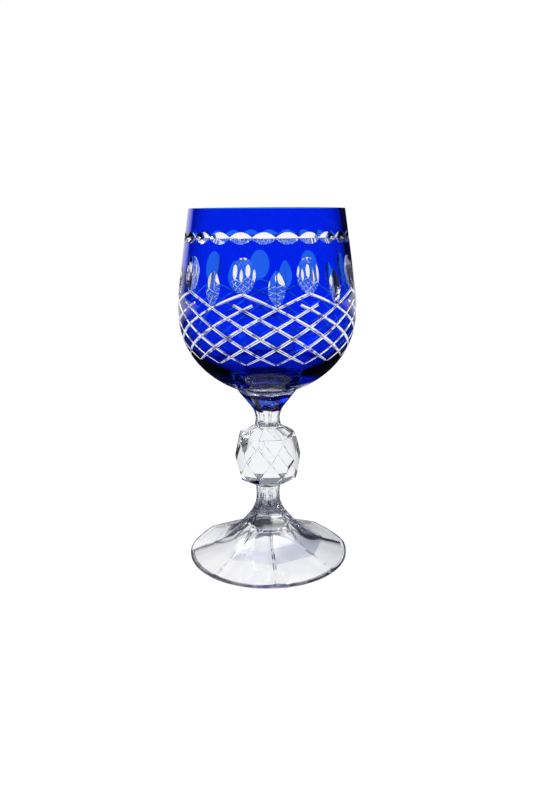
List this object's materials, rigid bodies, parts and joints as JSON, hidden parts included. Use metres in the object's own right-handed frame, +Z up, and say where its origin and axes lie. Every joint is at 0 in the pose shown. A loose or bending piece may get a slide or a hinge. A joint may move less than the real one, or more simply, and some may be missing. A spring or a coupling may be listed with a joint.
{
  "type": "stemmed water goblet",
  "caption": "Stemmed drinking glass with a blue cased bowl, cut through to clear in a lattice, on a clear faceted stem and foot.",
  "frame": {"origin": "centre of the foot's resting ring, on the surface the glass stands on", "axes": "+Z up along the stem, -Y towards the front ridge of the foot, +X to the right seen from the front"},
  "size_m": [0.081, 0.081, 0.165],
  "materials": {
    "cobalt_glass": "polished cobalt-blue overlay",
    "clear_bowl_glass": "polished clear glass",
    "clear_stem_glass": "fire-polished clear glass"
  },
  "bodies": {
    "root": {"bowl_casing": "cobalt_glass", "bowl_lining": "clear_bowl_glass", "stem_collar": "clear_stem_glass", "stem_knop": "clear_stem_glass", "foot": "clear_stem_glass"}
  },
  "joints": []
}
